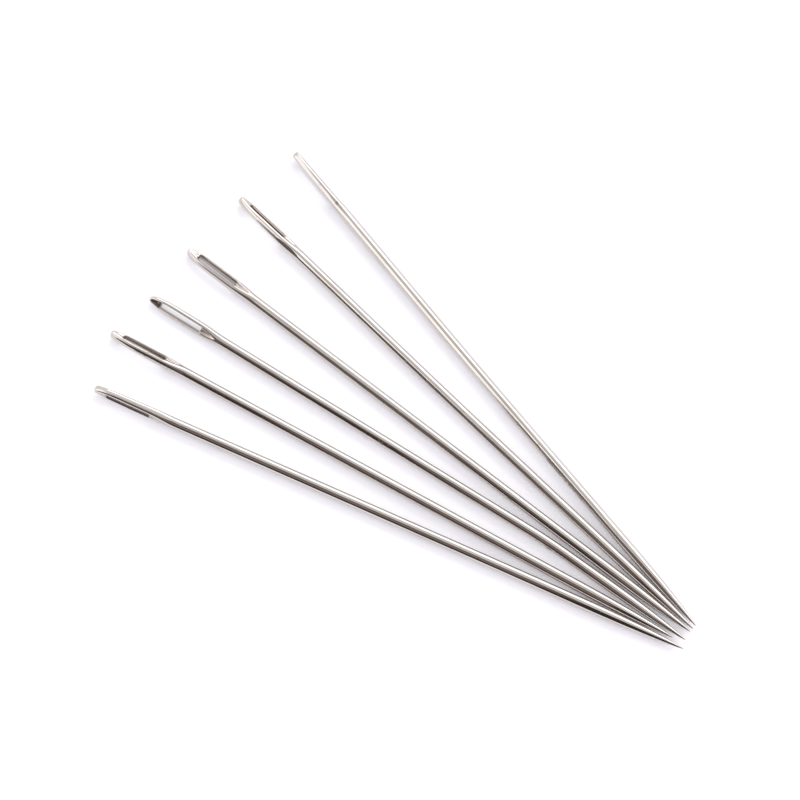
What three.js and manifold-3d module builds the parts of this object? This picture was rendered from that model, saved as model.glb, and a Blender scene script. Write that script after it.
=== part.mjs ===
// A set of long-eyed steel bodkins, fanned out on a table with their points gathered.
// Millimetres, +Z up. The points lie towards +X and the eyes towards -X.
// The origin is on the table, under the middle of the set.

import * as THREE from "three";
import { mergeVertices, toCreasedNormals } from "three/addons/utils/BufferGeometryUtils.js";
import Module from "manifold-3d";

// Wire and point
const NEEDLE_LENGTH = 60;
const WIRE_DIAMETER = 1.06;
const POINT_LENGTH = 10.5;
const POINT_FULLNESS = 1.55; // 1 is a parabola, 2 is an ellipse

// Head, pressed flat from the wire so that it spreads past the wire's width
const HEAD_WIDTH = 1.27;
const CROWN_SWELL = 1.8; // the head still widens this far past the start of the eye
const CROWN_FULLNESS = 2.6; // 2 is an ellipse, more is blunter
const CROWN_THICKNESS = 0.7;
const CROWN_ROUNDING = 0.22; // length over which the crown's end is rounded, seen edge on
const FACE_FULLNESS = 3; // flatness of the head's two faces: 2 is an ellipse, more is flatter
const EYE_END_THICKNESS = 0.88;
const NECK_LENGTH = 2.4; // from the end of the eye to the round wire

// Eye, punched through the head, and the gutter that lets the thread lie flush on each face
const CROWN_WEB = 1.2; // metal left between the end of the head and the eye
const EYE_LENGTH = 4.8;
const EYE_WIDTH = 0.84;
const EYE_CORNER = 0.23;
const EYE_BULGE = 0.18; // how far the eye's rounded walls bulge at half depth
const RAIL_WIDTH = 0.19; // least width of the face beside the eye
const GUTTER_WIDTH = 0.6;
const GUTTER_DEPTH = 0.3; // below the surface of the wire
const GUTTER_RUNOUT = 1.5; // past the end of the eye

// Set that use has left in a wire: angle from eye to point in degrees, distance back from the
// point's shoulder to its middle, and the length of wire that it is spread over
const STRAIGHT = null;
const DROOP = { angle: -0.38, back: 7.5, length: 12 };
const KINK = { angle: -3.87, back: 5.2, length: 4 };
const SLIGHT_BOW = { angle: 0.6, back: 20, length: 16 };
const BOW = { angle: 0.85, back: 22, length: 16 };

// The needles, each lying beside the one before it. heading: where its point aims, in degrees;
// roll: turn of its eye about the shaft, in degrees; stagger: how far its shoulder is ahead of the
// last one's; gap: the least room between the two
const SET = [
  { name: "bodkin_1", heading: 12.93, roll: 86, stagger: 0, gap: 0, bend: DROOP },
  { name: "bodkin_2", heading: 8.37, roll: -36, stagger: -1.3, gap: 0.055, bend: STRAIGHT },
  { name: "bodkin_3", heading: 1.2, roll: 37, stagger: 1.24, gap: 0.15, bend: KINK },
  { name: "bodkin_4", heading: -0.77, roll: -20, stagger: -0.09, gap: 0.155, bend: STRAIGHT },
  { name: "bodkin_5", heading: -6.99, roll: -46, stagger: 0.105, gap: 0.03, bend: SLIGHT_BOW },
  { name: "bodkin_6", heading: -13.2, roll: 108, stagger: 0.005, gap: 0.03, bend: BOW },
];

// Facets
const SIDES = 32;
const CROWN_RINGS = 8;
const NECK_RINGS = 6;
const BEND_RINGS = 4;
const POINT_RINGS = 8;
const EYE_CORNER_FACETS = 3;
const EYE_WALL_FACETS = 4;
const GUTTER_FACETS = 14;
const CREASE_ANGLE = THREE.MathUtils.degToRad(35);

// Stations along the needle, from the end of the head. Past HEAD_END the wire is plain and round.
const EYE_END = CROWN_WEB + EYE_LENGTH;
const CROWN_END = CROWN_WEB + CROWN_SWELL;
const NECK_START = EYE_END - EYE_WIDTH / 2;
const NECK_END = EYE_END + NECK_LENGTH;
const HEAD_END = NECK_END + GUTTER_RUNOUT;
const SHOULDER = NEEDLE_LENGTH - POINT_LENGTH;

// The wire is a prism here, and lies on one of its flats
const SHAFT_HEIGHT = (WIRE_DIAMETER / 2) * Math.cos(Math.PI / SIDES);

const GAP_SAMPLES = 240;
const MERGE_DISTANCE = 1e-5;
const ORIGIN = new THREE.Vector2();

const { clamp, degToRad, lerp, smoothstep } = THREE.MathUtils;

const wasm = await Module();
wasm.setup();

// Share of its full thickness that a rounded end has, at that distance from the very end
function rounding(distance, length, fullness) {
  const left = 1 - clamp(distance / length, 0, 1);
  return (1 - left ** 2) ** (1 / fullness);
}

// Half the outline seen from above the eye: crown, rails, neck, shaft and tapered point
function halfWidth(station) {
  const neck = smoothstep(station, NECK_START, NECK_END);
  const body = lerp(HEAD_WIDTH, WIRE_DIAMETER, neck) / 2;
  const point = rounding(NEEDLE_LENGTH - station, POINT_LENGTH, POINT_FULLNESS);
  return body * rounding(station, CROWN_END, CROWN_FULLNESS) * point;
}

// Half the outline of the head seen edge on
function halfThickness(station) {
  const neck = smoothstep(station, EYE_END, NECK_END);
  const face = lerp(CROWN_THICKNESS, EYE_END_THICKNESS, clamp(station / EYE_END, 0, 1));
  const crown = rounding(station, CROWN_ROUNDING, CROWN_FULLNESS);
  return (lerp(face, WIRE_DIAMETER, neck) / 2) * crown;
}

// Height of the pressed face over the wire's axis, at that distance from the mid-line
function faceHeight(station, side) {
  const fullness = lerp(FACE_FULLNESS, 2, smoothstep(station, EYE_END, NECK_END));
  const share = clamp(Math.abs(side) / halfWidth(station), 0, 1);
  return halfThickness(station) * (1 - share ** fullness) ** (1 / fullness);
}

// Share of the eye's full width that the rails leave where the crown narrows
function eyeShare(station) {
  return Math.min((halfWidth(station) - RAIL_WIDTH) / (EYE_WIDTH / 2), 1);
}

function evenly(from, to, steps) {
  return Array.from({ length: steps + 1 }, (_, i) => lerp(from, to, i / steps));
}

// The axis of a needle, measured from the shoulder of its point, which aims along +X
function axisAt(along, { bend }) {
  if (!bend) return { x: along, y: 0, turn: 0 };
  const arcFront = bend.length / 2 - bend.back;
  if (along >= arcFront) return { x: along, y: 0, turn: 0 };
  const radius = bend.length / degToRad(bend.angle);
  const onArc = Math.min(arcFront - along, bend.length);
  const behindArc = arcFront - along - onArc;
  const turn = -onArc / radius;
  return {
    x: arcFront + radius * Math.sin(turn) - behindArc * Math.cos(turn),
    y: radius * (1 - Math.cos(turn)) - behindArc * Math.sin(turn),
    turn,
  };
}

// Round stock turned about +X through the given stations, with square ends where it isn't closed
function turned(stations, needle) {
  const outline = stations.map((station) => new THREE.Vector2(halfWidth(station), station));
  outline.unshift(new THREE.Vector2(0, stations[0]));
  outline.push(new THREE.Vector2(0, stations.at(-1)));
  const firstFlat = Math.PI / SIDES - degToRad(needle.roll);
  return new THREE.LatheGeometry(outline, SIDES, firstFlat).rotateZ(-Math.PI / 2);
}

// The head's stock, pressed to its thickness across the eye
function pressedHead(needle) {
  const crown = evenly(0, Math.PI / 2, CROWN_RINGS).map((angle) => CROWN_END * (1 - Math.cos(angle)));
  const stock = turned([...crown, ...evenly(NECK_START, NECK_END, NECK_RINGS), HEAD_END], needle);
  const place = stock.attributes.position;
  for (let i = 0; i < place.count; i++) {
    const station = place.getX(i);
    const side = place.getY(i);
    const roundHeight = Math.sqrt(Math.max(halfWidth(station) ** 2 - side ** 2, 0));
    if (roundHeight > 0) place.setZ(i, (place.getZ(i) * faceHeight(station, side)) / roundHeight);
  }
  return stock;
}

function shaftAndPoint(needle) {
  const stations = [HEAD_END];
  if (needle.bend) {
    const middle = SHOULDER - needle.bend.back;
    stations.push(...evenly(middle - needle.bend.length / 2, middle + needle.bend.length / 2, BEND_RINGS));
  }
  const point = evenly(0, Math.PI / 2, POINT_RINGS).map((angle) => SHOULDER + POINT_LENGTH * Math.sin(angle));
  return turned([...stations, ...point], needle);
}

// The eye's outline seen from above it, brought inside its own edge by that much
function eyeOutline(inset) {
  const radius = EYE_CORNER - inset;
  const side = EYE_WIDTH / 2 - EYE_CORNER;
  const [back, front] = [CROWN_WEB + EYE_CORNER, EYE_END - EYE_CORNER];
  const corner = (x, y, firstTurn) =>
    evenly(firstTurn, firstTurn + Math.PI / 2, EYE_CORNER_FACETS).map(
      (turn) => new THREE.Vector2(x + radius * Math.cos(turn), y + radius * Math.sin(turn)),
    );
  return [
    ...corner(front, side, 0),
    new THREE.Vector2(CROWN_END, side + radius),
    ...corner(back, side, Math.PI / 2),
    ...corner(back, -side, Math.PI),
    new THREE.Vector2(CROWN_END, -side - radius),
    ...corner(front, -side, (3 * Math.PI) / 2),
  ];
}

// The punch is waisted, so that the eye's walls bulge inwards at half depth
function eyePunch() {
  const layers = evenly(-Math.PI / 2, Math.PI / 2, EYE_WALL_FACETS).map((turn) =>
    eyeOutline(EYE_BULGE * Math.cos(turn)).map(
      ({ x, y }) => new THREE.Vector3(x, y * eyeShare(x), halfThickness(x) * Math.sin(turn)),
    ),
  );
  const past = (layer, z) => layer.map(({ x, y }) => new THREE.Vector3(x, y, z));
  layers.unshift(past(layers[0], -WIRE_DIAMETER));
  layers.push(past(layers.at(-1), WIRE_DIAMETER));
  return lofted(layers);
}

// A closed skin over layers of as many points each, every layer convex and above the one before
function lofted(layers) {
  const around = layers[0].length;
  const top = (layers.length - 1) * around;
  const corners = [];
  for (let i = 0; i < around; i++) {
    const next = (i + 1) % around;
    for (let low = 0; low < top; low += around) {
      const high = low + around;
      corners.push(low + i, low + next, high + next, low + i, high + next, high + i);
    }
    corners.push(0, next, i, top, top + i, top + next);
  }
  return new THREE.BufferGeometry().setFromPoints(layers.flat()).setIndex(corners);
}

// A slender ellipsoid, centred over the eye at the level of the wire's surface
function gutterTool(face) {
  const tool = new THREE.SphereGeometry(1, GUTTER_FACETS, GUTTER_FACETS).rotateZ(Math.PI / 2);
  tool.scale(EYE_LENGTH / 2 + GUTTER_RUNOUT, GUTTER_WIDTH / 2, GUTTER_DEPTH);
  return tool.translate(CROWN_WEB + EYE_LENGTH / 2, 0, (face * WIRE_DIAMETER) / 2);
}

// A closed solid, without the flat triangles that turned stock has on its axis
function solid(geometry) {
  geometry.deleteAttribute("normal");
  geometry.deleteAttribute("uv");
  const merged = mergeVertices(geometry, MERGE_DISTANCE);
  const corners = merged.index.array;
  const kept = [];
  for (let i = 0; i < corners.length; i += 3) {
    const [a, b, c] = corners.slice(i, i + 3);
    if (a !== b && b !== c && c !== a) kept.push(a, b, c);
  }
  const vertProperties = new Float32Array(merged.attributes.position.array);
  return new wasm.Manifold(new wasm.Mesh({ numProp: 3, vertProperties, triVerts: new Uint32Array(kept) }));
}

function surface(body) {
  const { vertProperties, triVerts } = body.getMesh();
  const geometry = new THREE.BufferGeometry();
  geometry.setAttribute("position", new THREE.BufferAttribute(new Float32Array(vertProperties), 3));
  geometry.setIndex(new THREE.BufferAttribute(new Uint32Array(triVerts), 1));
  return toCreasedNormals(geometry, CREASE_ANGLE);
}

// Rolls a piece of the needle about the wire, then lays it along the needle's axis
function alongAxis(geometry, needle) {
  geometry.rotateX(degToRad(needle.roll));
  const place = geometry.attributes.position;
  for (let i = 0; i < place.count; i++) {
    const axis = axisAt(place.getX(i) - SHOULDER, needle);
    const side = place.getY(i);
    place.setXY(i, axis.x - side * Math.sin(axis.turn), axis.y + side * Math.cos(axis.turn));
  }
  return solid(geometry);
}

function polishedSteel() {
  return new THREE.MeshStandardMaterial({ color: 0xcfcac5, roughness: 0.15, metalness: 1 });
}

// A head rolled on edge is deeper than the wire, so it props its own end up off the table
function restingPitch(head) {
  const place = head.geometry.attributes.position;
  let slope = 0;
  for (let i = 0; i < place.count; i++) {
    slope = Math.max(slope, (place.getZ(i) + SHAFT_HEIGHT) / place.getX(i));
  }
  return Math.atan(slope);
}

// Each needle is one length of wire. Its pressed head and its round shaft are solids of their own,
// which meet face to face past the neck, so that the eye stays open however each is simplified.
function bodkin(needle) {
  let headBody = alongAxis(pressedHead(needle), needle);
  for (const tool of [eyePunch(), gutterTool(1), gutterTool(-1)]) {
    headBody = headBody.subtract(alongAxis(tool, needle));
  }
  const head = new THREE.Mesh(surface(headBody), polishedSteel());
  head.name = `${needle.name}_head`;
  const shaft = new THREE.Mesh(surface(alongAxis(shaftAndPoint(needle), needle)), polishedSteel());
  shaft.name = `${needle.name}_shaft`;
  const pieces = new THREE.Group().add(head, shaft);
  pieces.rotation.y = restingPitch(head);
  return pieces;
}

// How far across from the last needle's shoulder this one has to lie to keep its gap
function offsetBeside(last, needle) {
  const between = degToRad(needle.heading - last.heading);
  let offset = 0;
  for (const station of evenly(0, NEEDLE_LENGTH, GAP_SAMPLES)) {
    const own = axisAt(station - SHOULDER, needle);
    const point = new THREE.Vector2(own.x, own.y).rotateAround(ORIGIN, between);
    const beside = point.x + needle.stagger;
    const room = halfWidth(station) + halfWidth(beside + SHOULDER) + needle.gap;
    offset = Math.max(offset, room + axisAt(beside, last).y - point.y);
  }
  return offset;
}

const fan = new THREE.Group();
const shoulder = new THREE.Vector2();
let last = SET[0];
for (const needle of SET) {
  if (needle !== last) {
    const step = new THREE.Vector2(needle.stagger, offsetBeside(last, needle));
    shoulder.add(step.rotateAround(ORIGIN, degToRad(last.heading)));
  }
  const laid = new THREE.Group().add(bodkin(needle));
  laid.position.set(shoulder.x, shoulder.y, SHAFT_HEIGHT);
  laid.rotation.z = degToRad(needle.heading);
  fan.add(laid);
  last = needle;
}

const extent = new THREE.Box3().setFromObject(fan, true);
const middle = extent.getCenter(new THREE.Vector3());
fan.position.set(-middle.x, -middle.y, -extent.min.z);

export default fan;
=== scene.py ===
"""Looks for a fanned set of long-eyed steel bodkins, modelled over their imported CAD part."""

import math
from typing import NamedTuple

import bmesh
import bpy
from bpy.props import FloatProperty, FloatVectorProperty, PointerProperty
from mathutils import Matrix, Vector


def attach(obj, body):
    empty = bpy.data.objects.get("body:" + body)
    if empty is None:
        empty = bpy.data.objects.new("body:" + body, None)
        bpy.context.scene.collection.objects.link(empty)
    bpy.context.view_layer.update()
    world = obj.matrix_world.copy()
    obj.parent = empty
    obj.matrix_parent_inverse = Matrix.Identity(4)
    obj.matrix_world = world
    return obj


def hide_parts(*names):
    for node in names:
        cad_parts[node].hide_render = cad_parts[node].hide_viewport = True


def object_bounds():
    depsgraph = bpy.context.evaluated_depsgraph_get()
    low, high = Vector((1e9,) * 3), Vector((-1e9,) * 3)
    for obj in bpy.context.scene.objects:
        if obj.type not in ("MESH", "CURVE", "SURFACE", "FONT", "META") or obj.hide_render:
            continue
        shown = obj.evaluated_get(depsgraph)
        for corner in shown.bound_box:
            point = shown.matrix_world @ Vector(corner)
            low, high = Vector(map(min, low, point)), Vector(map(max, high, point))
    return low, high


bl_info = {
    "name": "Bodkin Set",
    "version": (1, 0, 0),
    "blender": (4, 5, 0),
    "location": "3D View > Sidebar > Bodkins",
    "description": "Models a fanned set of long-eyed steel bodkins on a white table",
    "category": "Add Mesh",
}

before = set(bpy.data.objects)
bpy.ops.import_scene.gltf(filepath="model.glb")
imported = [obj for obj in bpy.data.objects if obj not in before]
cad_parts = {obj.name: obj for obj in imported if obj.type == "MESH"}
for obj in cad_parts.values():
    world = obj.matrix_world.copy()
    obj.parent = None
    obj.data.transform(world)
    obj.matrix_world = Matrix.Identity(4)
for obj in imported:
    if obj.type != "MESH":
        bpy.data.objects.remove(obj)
CAD_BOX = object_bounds()

MM = 0.001

# Faces around a needle, and how many columns of them the eye takes on each side of the head
COLUMNS = 48
EYE_COLUMNS = 8
EYE_WALL_CUTS = 5

# Rings of faces along each stretch of a needle
CROWN_RINGS = 10
EYE_CORNER_RINGS = 4
RAIL_RINGS = 22
NECK_RINGS = 22
SHAFT_RINGS = 130
POINT_RINGS = 26

SAME_PLACE = 2e-8  # corners of a needle that are closer than this become one
GUTTER_SOFTNESS = 0.015 * MM  # how softly the gutter runs out into the face
# The eye's walls and the gutter are darkened in colour as painted shade; the gutter takes it fully
# from this pressed depth
RECESS_DEPTH = 0.12 * MM  # pressed depth from which the gutter has its full colour
WORN_FADE = 0.5  # share of a worn place's reach over which it fades out

# Colour sockets of a Mix node
MIX_SHARE, MIX_A, MIX_B, MIX_RESULT = 0, 6, 7, 2

# The view, and the table under it
PHOTO_WIDTH = 800  # pixels of the square frame
SENSOR_WIDTH = 36  # millimetres
NEAREST_VIEW = 0.01
LOOKED_AT = Vector((-4.893 * MM, 1.611 * MM, 0.5 * MM))
TABLE_RADIUS = 3
TABLE_SIDES = 64
TABLE_GAP = 0.005 * MM  # keeps the table clear of the faces that rest on it

BACKDROP_COLUMNS = 24
BACKDROP_ROWS = 20
BACKDROP_MERGE = 0.1 * MM


class Bend(NamedTuple):
    """Set left in a wire by use: its angle in degrees, how far its middle lies behind the shoulder
    and the length that it runs over.
    """

    angle: float
    back: float
    length: float


class Mark(NamedTuple):
    """A worn place: how far it is from the crown, how many degrees round from level, and its reach
    along the wire and, in degrees, around it.
    """

    station: float
    turn: float
    along: float
    around: float = 20


class Lay(NamedTuple):
    """How a needle lies: the turn of its eye about the wire in degrees, its bend and its marks."""

    roll: float
    bend: Bend | None = None
    marks: tuple = ()


LAYS = {
    "bodkin_1": Lay(86, Bend(-0.38, 7.5 * MM, 12 * MM)),
    "bodkin_2": Lay(-36),
    "bodkin_3": Lay(
        37,
        Bend(-3.87, 5.2 * MM, 4 * MM),
        (Mark(26.3 * MM, 137, 0.4 * MM), Mark(44.8 * MM, 158, 0.5 * MM)),
    ),
    "bodkin_4": Lay(-20, None, (Mark(39.3 * MM, 135, 0.5 * MM),)),
    "bodkin_5": Lay(
        -46,
        Bend(0.6, 20 * MM, 16 * MM),
        (Mark(23 * MM, 136, 0.3 * MM), Mark(26.5 * MM, 136, 0.8 * MM)),
    ),
    "bodkin_6": Lay(
        108,
        Bend(0.85, 22 * MM, 16 * MM),
        (Mark(6.8 * MM, 97, 0.35 * MM), Mark(41.5 * MM, 148, 4.6 * MM, 24)),
    ),
}


class Pattern(NamedTuple):
    """A pattern on the steel: its size along the wire and across it, and its fineness.

    One with an edge shows from the first of the two levels of its noise, and fully from the second.
    Its roughness and height say how far it changes those of the plating.
    """

    along: float
    across: float
    detail: float = 2
    edge: tuple = ()
    roughness: float = 0
    height: float = 0


POLISH_LINES = Pattern(6 * MM, 0.09 * MM, 3, roughness=0.05, height=0.35)
WAVES = Pattern(3 * MM, 1.6 * MM)
DULL_PATCHES = Pattern(4 * MM, 1.2 * MM, 4, edge=(0.45, 0.7), roughness=0.04)
PITS = Pattern(0.3 * MM, 0.14 * MM, edge=(0.7, 0.76), roughness=0.3, height=-0.8)


class Backdrop(NamedTuple):
    """Part of a sphere round the set, which the needles mirror and the camera never sees.

    Its lowest and highest row and its left and right edge are in degrees, and the left edge may
    slant from the lowest row to the highest.
    """

    radius: float
    rows: tuple
    left: tuple
    right: float


BACKDROPS = {
    "far_room": Backdrop(0.55, (32, 68), (-95, -106), -81),
    "side_room": Backdrop(0.57, (12, 64), (-117, -121.5), -102.5),
    "dark_room": Backdrop(0.6, (0.5, 76), (-117.2, -122.5), 10),
    "ceiling": Backdrop(0.65, (64, 90), (0, 0), 360),
    "dim_ceiling": Backdrop(0.62, (63, 80), (-178, -178), -137),
}


class Softbox(NamedTuple):
    """A soft light that faces the set: its direction in degrees, its distance and its size."""

    azimuth: float
    elevation: float
    distance: float
    width: float
    height: float


SOFTBOXES = {
    "main_light": Softbox(90, 38, 0.7, 1.0, 0.4),
    "side_light": Softbox(-145, 40, 0.7, 0.8, 0.6),
}


def clamp(value):
    return min(max(value, 0.0), 1.0)


def smoothstep(value, low, high):
    x = clamp((value - low) / (high - low))
    return x * x * (3 - 2 * x)


def blend(a, b, share):
    return a + (b - a) * share


def evenly(start, end, steps):
    return [blend(start, end, i / steps) for i in range(steps + 1)]


def degrees_apart(a, b):
    return abs((a - b + 180) % 360 - 180)


def direction(azimuth, elevation):
    level = math.cos(elevation)
    return Vector((level * math.cos(azimuth), level * math.sin(azimuth), math.sin(elevation)))


def length(name, description, millimetres):
    return FloatProperty(
        name=name,
        description=description,
        default=millimetres * MM,
        min=0,
        precision=6,
        unit="LENGTH",
    )


def amount(name, description, default):
    return FloatProperty(
        name=name, description=description, default=default, min=0, max=1, subtype="FACTOR"
    )


def exponent(name, description, default, least):
    return FloatProperty(name=name, description=description, default=default, min=least)


def angle(name, description, degrees):
    return FloatProperty(
        name=name, description=description, default=math.radians(degrees), subtype="ANGLE"
    )


def power(name, description, watts):
    return FloatProperty(name=name, description=description, default=watts, unit="POWER")


def colour(name, description, *rgb):
    return FloatVectorProperty(
        name=name, description=description, default=rgb, min=0, max=1, size=3, subtype="COLOR"
    )


class BodkinSizes(bpy.types.PropertyGroup):
    """Sizes of one needle. Every needle of the set has the same ones."""

    needle: length("Length", "From the end of the head to the tip", 60)
    wire: length("Wire", "Diameter of the round shaft", 1.06)
    point: length("Point", "Length of the ground taper", 10.5)
    head: length("Head width", "Width of the pressed head", 1.27)
    crown_swell: length("Crown swell", "How far past the start of the eye the head widens", 1.8)
    crown_thickness: length("Crown thickness", "Thickness of the head at its end", 0.7)
    crown_rounding: length("Crown rounding", "Length of the rounded end, seen edge on", 0.22)
    eye_end_thickness: length("Eye end thickness", "Thickness where the eye ends", 0.88)
    neck: length("Neck", "From the end of the eye to the round wire", 2.4)
    crown_web: length("Crown web", "Metal between the end of the head and the eye", 1.2)
    eye: length("Eye length", "Length of the slot at the faces of the head", 4.8)
    eye_width: length("Eye width", "Width of the slot at the faces of the head", 0.84)
    eye_corner: length("Eye corner", "Radius of the slot's corners", 0.23)
    rail: length("Rail", "Least width of the face beside the eye", 0.19)
    gutter: length("Gutter width", "Width of the groove past the eye", 0.6)
    gutter_depth: length("Gutter depth", "Depth of the groove below the wire's surface", 0.3)
    gutter_runout: length("Gutter run-out", "How far past the eye the groove reaches", 1.5)
    eye_bulge: length("Eye bulge", "How far the eye's rounded walls bulge at half depth", 0.18)
    point_fullness: exponent(
        "Point fullness",
        "Bluntness of the point, where 1 is a parabola and 2 is an ellipse",
        1.55,
        1,
    )
    crown_fullness: exponent(
        "Crown fullness", "Bluntness of the head's end, where 2 is an ellipse", 2.6, 1
    )
    face_fullness: exponent(
        "Face fullness", "Flatness of the head's two faces, where 2 is an ellipse", 3.0, 2
    )

    @property
    def eye_end(self):
        return self.crown_web + self.eye

    @property
    def crown_end(self):
        return self.crown_web + self.crown_swell

    @property
    def neck_start(self):
        return self.eye_end - self.eye_width / 2

    @property
    def neck_end(self):
        return self.eye_end + self.neck

    @property
    def shoulder(self):
        return self.needle - self.point

    @staticmethod
    def rounding(distance, reach, fullness):
        """Share of its full thickness that a rounded end has, that far from the very end."""
        left = 1 - clamp(distance / reach)
        return (1 - left**2) ** (1 / fullness)

    def half_width(self, station):
        """Half the outline seen from above the eye."""
        neck = smoothstep(station, self.neck_start, self.neck_end)
        body = blend(self.head, self.wire, neck) / 2
        crown = self.rounding(station, self.crown_end, self.crown_fullness)
        point = self.rounding(self.needle - station, self.point, self.point_fullness)
        return body * crown * point

    def half_thickness(self, station):
        """Half the outline of the head seen edge on."""
        neck = smoothstep(station, self.eye_end, self.neck_end)
        face = blend(self.crown_thickness, self.eye_end_thickness, clamp(station / self.eye_end))
        crown = self.rounding(station, self.crown_rounding, self.crown_fullness)
        return blend(face, self.wire, neck) / 2 * crown

    def eye_share(self, station):
        """Share of the eye's full width that the rails leave there."""
        return min((self.half_width(station) - self.rail) / (self.eye_width / 2), 1)

    def round_height(self, place):
        """Height of the turned wire over its axis, before the head is pressed."""
        return math.sqrt(max(self.half_width(place.x) ** 2 - place.y**2, 0))

    def face_height(self, station, side):
        """Height of the pressed face over the wire's axis, at that distance from the mid-line."""
        fullness = blend(self.face_fullness, 2, smoothstep(station, self.eye_end, self.neck_end))
        share = clamp(abs(side) / self.half_width(station))
        return self.half_thickness(station) * (1 - share**fullness) ** (1 / fullness)

    def stations(self):
        """Where the rings of the mesh lie, from the end of the head to the tip."""
        quarter = math.pi / 2
        end = self.eye_width / 2
        crown = [self.crown_web * (1 - math.cos(a)) for a in evenly(0, quarter, CROWN_RINGS)]
        eye_start = evenly(self.crown_web, self.crown_web + end, EYE_CORNER_RINGS)
        rails = evenly(self.crown_web + end, self.eye_end - end, RAIL_RINGS)
        eye_end = evenly(self.eye_end - end, self.eye_end, EYE_CORNER_RINGS)
        neck = evenly(self.eye_end, self.neck_end, NECK_RINGS)
        shaft = evenly(self.neck_end, self.shoulder, SHAFT_RINGS)
        point = [
            blend(self.shoulder, self.needle, math.sin(a)) for a in evenly(0, quarter, POINT_RINGS)
        ]
        runs = [crown, eye_start, rails, eye_end, neck, shaft, point]
        return runs[0] + [station for run in runs[1:] for station in run[1:]]


class SteelFinish(bpy.types.PropertyGroup):
    """Colours, wear, painted shade in the stamped eye and gutter, and polish of the plated steel.
    """

    plate: colour("Plate", "Colour of the polished plating", 0.64, 0.605, 0.572)
    stain: colour("Stain", "Colour where handling has dulled the plating", 0.5, 0.455, 0.41)
    # Painted shade: the darker colour put on the eye's walls and the pressed gutter
    recess: colour("Recess", "Colour of the stamped eye and gutter", 0.42, 0.38, 0.35)
    pit: colour("Pits", "Colour of the worn places", 0.21, 0.185, 0.17)
    stain_share: amount("Stain share", "How much of the stain's colour dull patches take", 0.45)
    # Share of that painted shade that the eye's walls and the gutter take
    recess_shade_share: amount("Recess share", "How much of its own colour the stamped eye takes", 0.8)
    pit_share: amount("Pit share", "How much of their own colour the pits take", 0.75)
    wear: amount("Wear", "How thickly pits cover the worn places", 0.28)
    polish: amount("Roughness", "Roughness of the polished plating", 0.055)
    relief: amount("Relief", "Strength of the fine relief on the plating", 0.25)
    relief_depth: length("Relief depth", "Depth of the fine relief on the plating", 0.012)


class StageSettings(bpy.types.PropertyGroup):
    """The table, its light and the view."""

    table: colour("Table", "Colour of the table", 0.9, 0.908, 0.932)
    glow: colour("Table glow", "What the light on the table lacks to white", 0.115, 0.119, 0.14)
    far_room: colour("Far room", "Colour of the room's lighter far side", 0.25, 0.2, 0.2)
    side_room: colour("Side of the room", "Colour of the room's left side", 0.19, 0.155, 0.15)
    dark_room: colour("Dark room", "Colour of the room in front of the table", 0.05, 0.036, 0.034)
    ceiling: colour("Ceiling", "Colour of the ceiling over the table", 0.82, 0.8, 0.8)
    dim_ceiling: colour("Dim ceiling", "Colour of the ceiling's dimmer part", 0.58, 0.57, 0.58)
    sky: colour("Sky", "Colour of the light from all round", 1, 0.96, 0.97)
    fill: amount("Fill light", "Strength of the light from all round", 0.92)
    main_light: power("Main light", "Power of the light behind the set", 2.3)
    side_light: power("Side light", "Power of the light at the left", 0.9)
    distance: length("Distance", "From the camera to what it looks at", 350)
    elevation: angle("Elevation", "Height of the camera above the table", 69.61)
    heading: angle("Heading", "Direction that the camera looks in, from +X", 128.18)
    focal: FloatProperty(
        name="Focal length",
        description="Focal length in pixels of the square frame",
        default=3748,
        subtype="PIXEL",
    )


class Signal:
    """A shader socket that Python's operators work on."""

    def __init__(self, graph, socket):
        self.graph = graph
        self.socket = socket

    def calculate(self, operation, *values, clamped=False):
        settings = {"operation": operation, "use_clamp": clamped}
        return self.graph.node("ShaderNodeMath", settings, dict(enumerate(values)))

    def __add__(self, other):
        return self.calculate("ADD", self, other)

    def __sub__(self, other):
        return self.calculate("SUBTRACT", self, other)

    def __mul__(self, other):
        return self.calculate("MULTIPLY", self, other)

    def __radd__(self, other):
        return self.calculate("ADD", other, self)

    def __rsub__(self, other):
        return self.calculate("SUBTRACT", other, self)

    def __rmul__(self, other):
        return self.calculate("MULTIPLY", other, self)

    def clamped(self):
        return self.calculate("ADD", self, 0.0, clamped=True)


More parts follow.
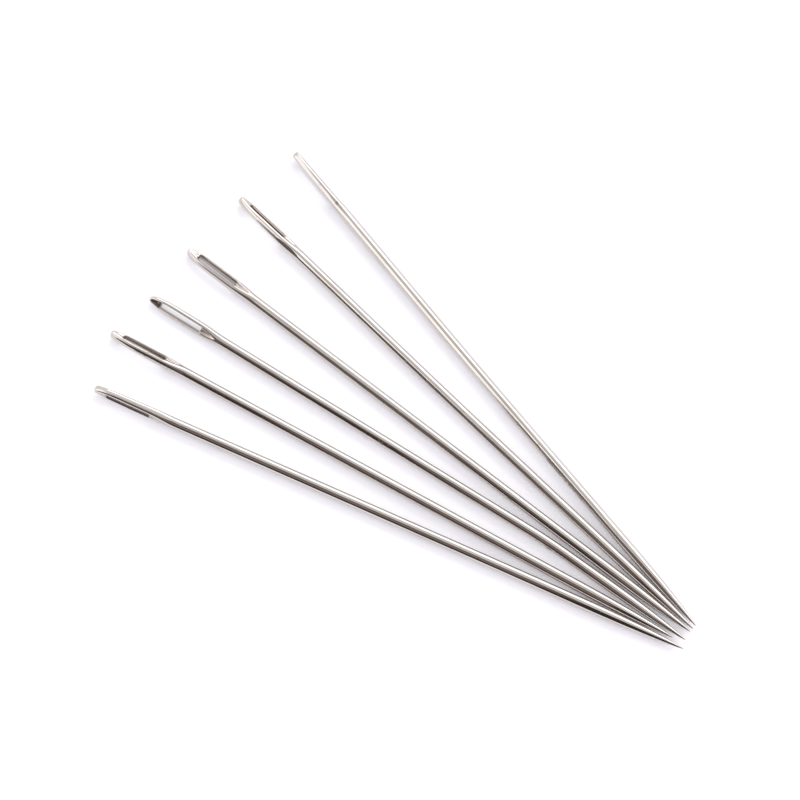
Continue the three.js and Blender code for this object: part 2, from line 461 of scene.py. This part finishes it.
class Graph:
    """The nodes of one material or of the world."""

    def __init__(self, tree):
        self.tree = tree
        tree.nodes.clear()

    def node(self, kind, settings=None, sockets=None, output=0):
        made = self.tree.nodes.new(kind)
        for name, value in (settings or {}).items():
            if name == "stops":
                self.set_stops(made.color_ramp, value)
            else:
                setattr(made, name, value)
        for name, value in (sockets or {}).items():
            if isinstance(value, Signal):
                self.tree.links.new(value.socket, made.inputs[name])
            else:
                made.inputs[name].default_value = value
        return Signal(self, made.outputs[output]) if made.outputs else None

    @staticmethod
    def set_stops(ramp, stops):
        for element, (place, value) in zip(ramp.elements, stops):
            element.position = place
            element.color = (value, value, value, 1)

    def attribute(self, name, output):
        return self.node("ShaderNodeAttribute", {"attribute_name": name}, output=output)

    def noise(self, vector, pattern):
        scale = (1 / pattern.along, 1 / pattern.across, 1 / pattern.across)
        stretched = self.node("ShaderNodeMapping", None, {"Vector": vector, "Scale": scale})
        sockets = {"Vector": stretched, "Scale": 1.0, "Detail": pattern.detail}
        return self.node("ShaderNodeTexNoise", None, sockets)

    def rising(self, value, low, high):
        """0 up to the low value, 1 from the high one on."""
        return self.node("ShaderNodeValToRGB", {"stops": ((low, 0), (high, 1))}, {"Fac": value})

    def mix(self, share, a, b):
        sockets = {MIX_SHARE: share, MIX_A: a, MIX_B: b}
        return self.node("ShaderNodeMix", {"data_type": "RGBA"}, sockets, output=MIX_RESULT)

    def seen(self):
        """1 for what the camera, a reflection or glass shows, 0 for light on the object."""
        camera, reflection, glass = (
            self.node("ShaderNodeLightPath", output=name)
            for name in ("Is Camera Ray", "Is Glossy Ray", "Is Transmission Ray")
        )
        return (camera + reflection + glass).clamped()


def opaque(rgb):
    return (*rgb, 1.0)


def material_graph(name):
    material = bpy.data.materials.new(name)
    material.use_nodes = True
    return material, Graph(material.node_tree)


def plated_steel(finish):
    """Nickel-plated steel, with lines from drawing and polishing that run along the wire, and
    painted shade in the stamped eye and gutter.
    """
    material, graph = material_graph("plated_steel")
    straight = graph.attribute("straight", "Vector")
    recess = graph.attribute("recess", "Fac")
    worn = graph.attribute("worn", "Fac")
    lines = graph.noise(straight, POLISH_LINES)
    waves = graph.noise(straight, WAVES)
    patches = graph.rising(graph.noise(straight, DULL_PATCHES), *DULL_PATCHES.edge)
    pits = graph.rising(graph.noise(straight, PITS) + worn * finish.wear, *PITS.edge)
    base = graph.mix(patches * finish.stain_share, opaque(finish.plate), opaque(finish.stain))
    # Painted shade: the eye's walls and the pressed gutter take the darker recess colour
    base = graph.mix(recess * finish.recess_shade_share, base, opaque(finish.recess))
    base = graph.mix(pits * finish.pit_share, base, opaque(finish.pit))
    roughness = finish.polish + (lines - 0.5) * POLISH_LINES.roughness
    roughness = roughness + patches * DULL_PATCHES.roughness + pits * PITS.roughness
    height = lines * POLISH_LINES.height + waves + pits * PITS.height
    relief = graph.node(
        "ShaderNodeBump",
        None,
        {"Strength": finish.relief, "Distance": finish.relief_depth, "Height": height},
    )
    shader = graph.node(
        "ShaderNodeBsdfPrincipled",
        None,
        {"Base Color": base, "Metallic": 1.0, "Roughness": roughness, "Normal": relief},
    )
    graph.node("ShaderNodeOutputMaterial", None, {"Surface": shader})
    return material


def table_white(stage):
    """A matt white table. What the light on it lacks to white is added where it is looked at."""
    material, graph = material_graph("table_white")
    matt = graph.node("ShaderNodeBsdfDiffuse", None, {"Color": opaque(stage.table)})
    sockets = {"Color": opaque(stage.glow), "Strength": graph.seen()}
    glow = graph.node("ShaderNodeEmission", None, sockets)
    shader = graph.node("ShaderNodeAddShader", None, {0: matt, 1: glow})
    graph.node("ShaderNodeOutputMaterial", None, {"Surface": shader})
    return material


def glowing(name, rgb):
    """A surface that shows one colour in any light."""
    material, graph = material_graph(name)
    shader = graph.node("ShaderNodeEmission", None, {"Color": opaque(rgb), "Strength": 1.0})
    graph.node("ShaderNodeOutputMaterial", None, {"Surface": shader})
    return material


def spun_wire(bm, sizes):
    """The needle's outline, turned about +X like a piece of wire."""
    places = [(station, sizes.half_width(station), 0) for station in sizes.stations()]
    outline = [bm.verts.new(place) for place in places]
    edges = [bm.edges.new(pair) for pair in zip(outline, outline[1:])]
    bmesh.ops.spin(
        bm, geom=outline + edges, axis=(1, 0, 0), steps=COLUMNS, angle=math.tau, use_merge=True
    )
    bmesh.ops.remove_doubles(bm, verts=bm.verts, dist=SAME_PLACE)
    bmesh.ops.recalc_face_normals(bm, faces=bm.faces)


def punch_eye(bm, sizes):
    """Opens the eye through the wire from +Z to -Z, closes its walls and returns their corners."""
    half_angle = math.pi * EYE_COLUMNS / COLUMNS

    def in_eye(face):
        place = face.calc_center_median()
        across = abs(place.y) < abs(place.z) * math.tan(half_angle)
        return across and sizes.crown_web < place.x < sizes.eye_end

    bmesh.ops.delete(bm, geom=[face for face in bm.faces if in_eye(face)], context="FACES")
    rims = [edge for edge in bm.edges if edge.is_boundary]
    if not rims:
        raise RuntimeError("The eye opened no faces of the head")
    for corner in {corner for rim in rims for corner in rim.verts}:
        draw_to_eye(corner, sizes, 0)
        corner.co.z = math.copysign(sizes.round_height(corner.co), corner.co.z)
    walls = bmesh.ops.bridge_loops(bm, edges=rims)
    upright = [edge for edge in walls["edges"] if edge not in rims]
    cut = bmesh.ops.subdivide_edges(bm, edges=upright, cuts=EYE_WALL_CUTS, use_grid_fill=True)
    inner = [item for item in cut["geom_inner"] if isinstance(item, bmesh.types.BMVert)]
    for corner in inner:
        turn = corner.co.z / sizes.round_height(corner.co) * math.pi / 2
        draw_to_eye(corner, sizes, sizes.eye_bulge * math.cos(turn))
        corner.co.z = sizes.round_height(corner.co) * math.sin(turn)
    return inner


def draw_to_eye(corner, sizes, inset):
    """Moves a corner to the outline of the eye, or inside it by that much."""
    radius = sizes.eye_corner
    low, high = sizes.crown_web + radius, sizes.eye_end - radius
    half = sizes.eye_width / 2 - radius
    place = Vector((corner.co.x, corner.co.y / sizes.eye_share(corner.co.x)))
    core = Vector((min(max(place.x, low), high), min(max(place.y, -half), half)))
    reach = place - core
    x, y = core + reach * (radius - inset) / reach.length
    corner.co.xy = x, y * sizes.eye_share(x)


def press_head(bm, sizes):
    """Flattens the head to its thickness and presses the gutter into both its faces."""
    recess = bm.verts.layers.float["recess"]
    half_length = sizes.eye / 2 + sizes.gutter_runout
    middle = sizes.crown_web + sizes.eye / 2
    for corner in bm.verts:
        station, side, height = corner.co
        round_height = sizes.round_height(corner.co)
        if round_height == 0 or station > sizes.shoulder:
            continue
        height *= sizes.face_height(station, side) / round_height
        oval = ((station - middle) / half_length) ** 2 + (side / (sizes.gutter / 2)) ** 2
        # The deeper the gutter is pressed, the more painted shade it takes
        if oval < 1 and corner[recess] == 0:
            floor = sizes.wire / 2 - sizes.gutter_depth * math.sqrt(1 - oval)
            rise = abs(height) - floor
            pressed = (abs(height) + floor - math.hypot(rise, GUTTER_SOFTNESS)) / 2
            corner[recess] = clamp((abs(height) - pressed) / RECESS_DEPTH)
            height = math.copysign(pressed, height)
        corner.co.z = height


def mark_worn(bm, lay):
    """Marks the worn places on the straight needle, fading out towards their ends."""
    worn = bm.verts.layers.float.new("worn")
    for corner in bm.verts:
        station, side, height = corner.co
        turn = math.degrees(math.atan2(height, side)) + lay.roll
        for mark in lay.marks:
            along = abs(station - mark.station) / mark.along
            around = degrees_apart(turn, mark.turn) / mark.around
            shown = clamp((1 - max(along, around)) / WORN_FADE)
            corner[worn] = max(corner[worn], shown)


def axis_at(along, bend):
    """The wire's axis at a place measured from the shoulder: x, y and how far it has turned."""
    if bend is None:
        return along, 0, 0
    arc_front = bend.length / 2 - bend.back
    if along >= arc_front:
        return along, 0, 0
    radius = bend.length / math.radians(bend.angle)
    on_arc = min(arc_front - along, bend.length)
    behind = arc_front - along - on_arc
    turn = -on_arc / radius
    x = arc_front + radius * math.sin(turn) - behind * math.cos(turn)
    y = radius * (1 - math.cos(turn)) - behind * math.sin(turn)
    return x, y, turn


def roll_and_bend(bm, sizes, lay):
    """Turns the eye about the wire, then bends the wire and puts its shoulder at the origin."""
    bmesh.ops.rotate(bm, verts=bm.verts, matrix=Matrix.Rotation(math.radians(lay.roll), 3, "X"))
    for corner in bm.verts:
        x, y, turn = axis_at(corner.co.x - sizes.shoulder, lay.bend)
        corner.co.x = x - corner.co.y * math.sin(turn)
        corner.co.y = y + corner.co.y * math.cos(turn)


def furthest(node, way):
    """The corner of a CAD node that lies furthest that way."""
    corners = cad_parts[node].data.vertices
    return max((corner.co for corner in corners), key=way.dot).copy()


def lay_on_table(bm, sizes, name, lay):
    """Lays the needle from the end of its CAD head to the tip of its CAD shaft."""
    tip = furthest(f"{name}_shaft", Vector((1, 0, 0)))
    back = furthest(f"{name}_head", Vector((-1, 0, 0))) - tip
    crown = furthest(f"{name}_head", back)
    x, y, _ = axis_at(-sizes.shoulder, lay.bend)
    span = sizes.point - x
    pitch = math.asin((crown.z - tip.z) / span)
    aim = math.atan2(tip.y - crown.y, tip.x - crown.x)
    heading = aim - math.atan2(-y, span * math.cos(pitch))
    turn = Matrix.Rotation(heading, 4, "Z") @ Matrix.Rotation(pitch, 4, "Y")
    place = Matrix.Translation(tip - turn @ Vector((sizes.point, 0, 0)))
    bmesh.ops.transform(bm, matrix=place @ turn, verts=bm.verts)


def add_to_scene(name, data):
    made = bpy.data.objects.new(name, data)
    bpy.context.scene.collection.objects.link(made)
    return made


def finished(bm, name, material):
    """Makes an object of a shape, at the origin with its place in its mesh."""
    mesh = bpy.data.meshes.new(name)
    bm.to_mesh(mesh)
    bm.free()
    mesh.materials.append(material)
    return add_to_scene(name, mesh)


def add_bodkin(name, lay, sizes, steel):
    """One needle, from the end of its head to its point."""
    bm = bmesh.new()
    recess = bm.verts.layers.float.new("recess")
    spun_wire(bm, sizes)
    # The eye's walls take the full painted shade
    for corner in punch_eye(bm, sizes):
        corner[recess] = 1
    press_head(bm, sizes)
    mark_worn(bm, lay)
    straight = bm.verts.layers.float_vector.new("straight")
    for corner in bm.verts:
        corner[straight] = corner.co
    roll_and_bend(bm, sizes, lay)
    lay_on_table(bm, sizes, name, lay)
    bmesh.ops.recalc_face_normals(bm, faces=bm.faces)
    needle = finished(bm, name, steel)
    needle.data.shade_smooth()
    smooth = needle.modifiers.new("Smooth", "SUBSURF")
    smooth.levels = smooth.render_levels = 1
    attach(needle, name)
    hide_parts(f"{name}_head", f"{name}_shaft")


def stage_mesh(bm, name, material):
    made = finished(bm, name, material)
    return made


def add_camera(stage):
    camera = bpy.data.cameras.new("camera")
    camera.sensor_width = SENSOR_WIDTH
    camera.lens = SENSOR_WIDTH * stage.focal / PHOTO_WIDTH
    camera.clip_start = NEAREST_VIEW
    made = add_to_scene("camera", camera)
    look = direction(stage.heading, -stage.elevation)
    made.location = LOOKED_AT - stage.distance * look
    made.rotation_euler = look.to_track_quat("-Z", "Y").to_euler()
    bpy.context.scene.camera = made


def add_table(stage):
    bm = bmesh.new()
    bmesh.ops.create_circle(bm, cap_ends=True, segments=TABLE_SIDES, radius=TABLE_RADIUS)
    bmesh.ops.translate(bm, verts=bm.verts, vec=(0, 0, CAD_BOX[0][2] - TABLE_GAP))
    stage_mesh(bm, "table", table_white(stage))


def add_backdrop(name, backdrop, rgb):
    """Bends a grid into that part of a sphere round the set."""
    bm = bmesh.new()
    bmesh.ops.create_grid(bm, x_segments=BACKDROP_COLUMNS, y_segments=BACKDROP_ROWS, size=0.5)
    for corner in bm.verts:
        across, up, _ = corner.co + Vector((0.5, 0.5, 0))
        column = blend(blend(*backdrop.left, up), backdrop.right, across)
        row = blend(*backdrop.rows, up)
        out = direction(math.radians(column), math.radians(row))
        corner.co = LOOKED_AT + backdrop.radius * out
    bmesh.ops.remove_doubles(bm, verts=bm.verts, dist=BACKDROP_MERGE)
    made = stage_mesh(bm, name, glowing(name, rgb))
    made.visible_camera = False
    made.visible_diffuse = False
    made.visible_shadow = False


def add_world(stage):
    world = bpy.data.worlds.new("surroundings")
    world.use_nodes = True
    bpy.context.scene.world = world
    graph = Graph(world.node_tree)
    strength = stage.fill + graph.seen() * (1 - stage.fill)
    sockets = {"Color": opaque(stage.sky), "Strength": strength}
    shader = graph.node("ShaderNodeBackground", None, sockets)
    graph.node("ShaderNodeOutputWorld", None, {"Surface": shader})


def add_softbox(name, softbox, watts):
    lamp = bpy.data.lights.new(name, "AREA")
    lamp.shape = "RECTANGLE"
    lamp.size = softbox.width
    lamp.size_y = softbox.height
    lamp.energy = watts
    made = add_to_scene(name, lamp)
    out = direction(math.radians(softbox.azimuth), math.radians(softbox.elevation))
    made.location = LOOKED_AT + softbox.distance * out
    made.rotation_euler = out.to_track_quat("Z", "Y").to_euler()


class BODKIN_OT_add_set(bpy.types.Operator):
    """Model every needle of the set where its CAD solids lie"""

    bl_idname = "bodkin.add_set"
    bl_label = "Add Bodkins"

    def execute(self, context):
        steel = plated_steel(context.scene.bodkin_finish)
        for name, lay in LAYS.items():
            add_bodkin(name, lay, context.scene.bodkin_sizes, steel)
        return {"FINISHED"}


class BODKIN_OT_add_stage(bpy.types.Operator):
    """Add the table, the light and the camera"""

    bl_idname = "bodkin.add_stage"
    bl_label = "Add Stage"

    def execute(self, context):
        stage = context.scene.bodkin_stage
        context.scene.view_settings.view_transform = "Standard"
        add_camera(stage)
        add_table(stage)
        for name, backdrop in BACKDROPS.items():
            add_backdrop(name, backdrop, getattr(stage, name))
        add_world(stage)
        for name, softbox in SOFTBOXES.items():
            add_softbox(name, softbox, getattr(stage, name))
        return {"FINISHED"}


class BODKIN_PT_set(bpy.types.Panel):
    """Sizes, finish and stage of the set"""

    bl_idname = "BODKIN_PT_set"
    bl_label = "Bodkin Set"
    bl_space_type = "VIEW_3D"
    bl_region_type = "UI"
    bl_category = "Bodkins"

    def draw(self, context):
        scene = context.scene
        for group in (scene.bodkin_sizes, scene.bodkin_finish, scene.bodkin_stage):
            box = self.layout.box()
            for name in group.__annotations__:
                box.prop(group, name)
        self.layout.operator(BODKIN_OT_add_set.bl_idname)
        self.layout.operator(BODKIN_OT_add_stage.bl_idname)


CLASSES = (
    BodkinSizes,
    SteelFinish,
    StageSettings,
    BODKIN_OT_add_set,
    BODKIN_OT_add_stage,
    BODKIN_PT_set,
)


def register():
    for cls in CLASSES:
        bpy.utils.register_class(cls)
    bpy.types.Scene.bodkin_sizes = PointerProperty(type=BodkinSizes)
    bpy.types.Scene.bodkin_finish = PointerProperty(type=SteelFinish)
    bpy.types.Scene.bodkin_stage = PointerProperty(type=StageSettings)


def unregister():
    del bpy.types.Scene.bodkin_stage
    del bpy.types.Scene.bodkin_finish
    del bpy.types.Scene.bodkin_sizes
    for cls in reversed(CLASSES):
        bpy.utils.unregister_class(cls)


def main():
    register()
    bpy.ops.bodkin.add_set()
    bpy.ops.bodkin.add_stage()
    bpy.context.view_layer.update()


if __name__ == "__main__":
    main()
